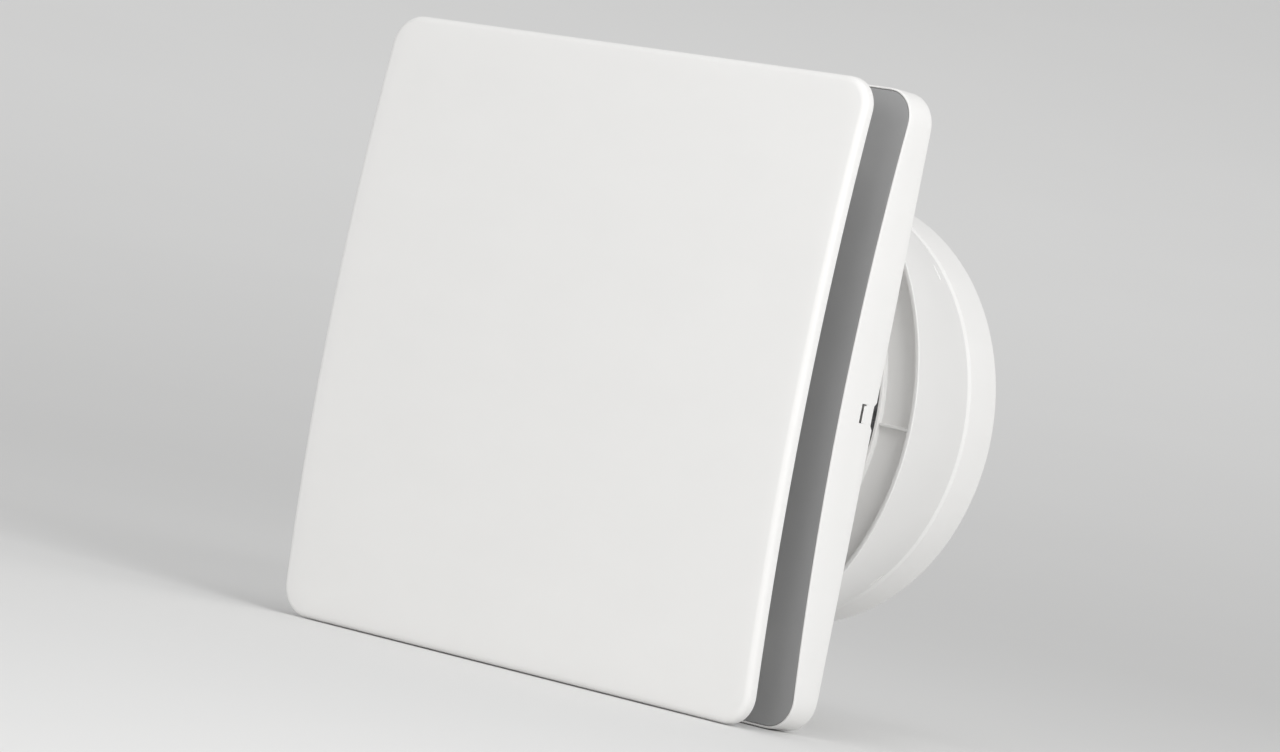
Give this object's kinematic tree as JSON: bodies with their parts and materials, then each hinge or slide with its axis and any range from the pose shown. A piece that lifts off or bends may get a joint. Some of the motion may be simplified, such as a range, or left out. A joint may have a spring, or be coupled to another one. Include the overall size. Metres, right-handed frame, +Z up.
{
  "type": "window exhaust fan",
  "caption": "window exhaust fan with a square stand-off front panel, axial impeller, round neck through the pane and a sliding conical rear collar with duct spigot and backdraught flaps",
  "frame": {"origin": "on the duct axis, in the plane of the housing's rear face, which meets the pane or wall", "axes": "+Y runs along the duct axis from the room to the outside, +X is to the right seen from the room, +Z is up"},
  "size_m": [0.2057, 0.1397, 0.204],
  "materials": {
    "white": "satin moulded plastic",
    "grey": "satin grey moulded plastic",
    "inner": "matt moulded plastic",
    "foam": "closed-cell foam",
    "rubber": "matt",
    "steel": "zinc plated",
    "core": "matt grey",
    "copper": "enamelled copper wire",
    "nylon": "natural nylon",
    "brown": "soft insulation",
    "blue": "soft insulation"
  },
  "bodies": {
    "base": {"front_frame": "white", "intake_plate": "grey", "base_plate": "white", "neck": "white", "rear_gasket": "foam", "motor_bracket": "inner", "motor_housing_front": "core", "motor_housing_rear": "core", "stator_core": "core", "stator_winding": "copper", "front_bearing": "steel", "rear_bearing": "steel", "terminal_block": "nylon", "terminal_cover": "inner", "cable_clamp": "nylon", "cable_grommet": "rubber", "motor_lead_live": "brown", "motor_lead_neutral": "blue", "bracket_screw_1": "steel", "bracket_screw_2": "steel", "bracket_screw_3": "steel", "bracket_screw_4": "steel", "plate_screw_1": "steel", "plate_screw_2": "steel", "plate_screw_3": "steel", "plate_screw_4": "steel", "motor_screw_1": "steel", "motor_screw_2": "steel", "motor_screw_3": "steel", "terminal_screw_1": "steel", "terminal_screw_2": "steel", "clamp_screw_1": "steel", "clamp_screw_2": "steel", "cover_screw": "steel"},
    "panel": {"front_panel": "white"},
    "rotor": {"rotor_core": "core", "motor_shaft": "steel", "impeller": "inner", "impeller_nut": "steel"},
    "collar": {"rear_collar": "white", "collar_seal": "foam", "damper_pin": "steel"},
    "flap_right": {"damper_flap_right": "inner", "damper_spring_right": "steel"},
    "flap_left": {"damper_flap_left": "inner", "damper_spring_left": "steel"}
  },
  "joints": [
    {"name": "panel_pull", "type": "slide", "parent": "base", "child": "panel", "axis": [0, -1, 0], "range_m": [0, 0.01]},
    {"name": "impeller_spin", "type": "hinge", "parent": "base", "child": "rotor", "pos_m": [0, 0, 0], "axis": [0, 1, 0], "continuous": true},
    {"name": "collar_slide", "type": "slide", "parent": "base", "child": "collar", "axis": [0, 1, 0], "range_m": [-0.028, 0.008]},
    {"name": "flap_right_swing", "type": "hinge", "parent": "collar", "child": "flap_right", "pos_m": [0, 0.0905, 0], "axis": [0, 0, 1], "range_deg": [0, 75], "stiffness_Nm_per_rad": 0.004, "springref_deg": -28.65},
    {"name": "flap_left_swing", "type": "hinge", "parent": "collar", "child": "flap_left", "pos_m": [0, 0.0905, 0], "axis": [0, 0, -1], "range_deg": [0, 75], "stiffness_Nm_per_rad": 0.004, "springref_deg": -28.65}
  ]
}
